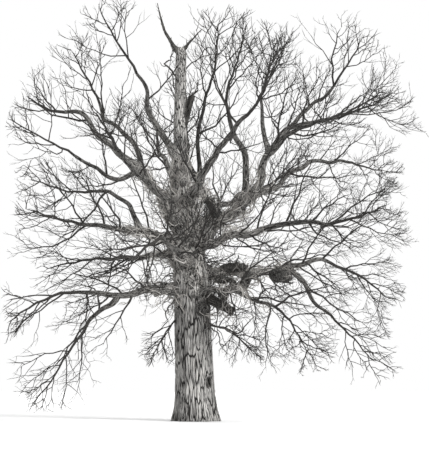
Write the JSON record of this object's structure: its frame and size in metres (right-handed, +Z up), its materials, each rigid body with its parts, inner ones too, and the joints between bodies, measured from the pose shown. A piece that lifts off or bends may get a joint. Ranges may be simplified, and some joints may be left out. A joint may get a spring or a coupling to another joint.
{
  "type": "bare oak tree",
  "caption": "Old open-grown oak in winter: thick leaning trunk with a root flare, spreading crooked boughs, a dead forked top and a rounded crown of bare twigs.",
  "frame": {"origin": "middle of the flat cut under the trunk, at ground level", "axes": "+Z up along the trunk, +X to the right along the crown's broad side, +Y away from the viewer"},
  "size_m": [17.4631, 17.2228, 17.9896],
  "materials": {
    "bark": "deeply furrowed grey-brown bark",
    "dead_wood": "weathered grey dead wood",
    "twig_bark": "smooth dull grey-brown twig bark"
  },
  "bodies": {
    "root": {"back_left_bough": "bark", "back_left_twigs": "twig_bark", "back_low_bough": "bark", "back_low_twigs": "twig_bark", "back_right_bough": "bark", "back_right_twigs": "twig_bark", "burr_shoots": "twig_bark", "centre_thin_bough": "bark", "centre_thin_twigs": "twig_bark", "cross_limb_bough": "bark", "cross_limb_twigs": "twig_bark", "dead_top_left": "dead_wood", "dead_top_right": "dead_wood", "front_left_bough": "bark", "front_left_twigs": "twig_bark", "front_low_bough": "bark", "front_low_twigs": "twig_bark", "front_right_bough": "bark", "front_right_twigs": "twig_bark", "left_great_bough": "bark", "left_great_side_bough": "bark", "left_great_side_twigs": "twig_bark", "left_great_twigs": "twig_bark", "left_mid_bough": "bark", "left_mid_rise_bough": "bark", "left_mid_rise_twigs": "twig_bark", "left_mid_twigs": "twig_bark", "left_second_bough": "bark", "left_second_twigs": "twig_bark", "left_shelf_bough": "bark", "left_shelf_twigs": "twig_bark", "left_shoots": "twig_bark", "left_upright_bough": "bark", "left_upright_twigs": "twig_bark", "low_left_bough": "bark", "low_left_drop_bough": "bark", "low_left_drop_twigs": "twig_bark", "low_left_twigs": "twig_bark", "right_drop_bough": "bark", "right_drop_twigs": "twig_bark", "right_fan_high_bough": "bark", "right_fan_high_twigs": "twig_bark", "right_fan_side_bough": "bark", "right_fan_side_twigs": "twig_bark", "right_fan_up_bough": "bark", "right_fan_up_twigs": "twig_bark", "right_great_bough": "bark", "right_great_twigs": "twig_bark", "right_low_bough": "bark", "right_low_drop_bough": "bark", "right_low_drop_twigs": "twig_bark", "right_low_twigs": "twig_bark", "right_mid_bough": "bark", "right_mid_twigs": "twig_bark", "right_shelf_high_bough": "bark", "right_shelf_high_twigs": "twig_bark", "right_shoots": "twig_bark", "right_upright_bough": "bark", "right_upright_twigs": "twig_bark", "trunk": "bark"}
  },
  "joints": []
}
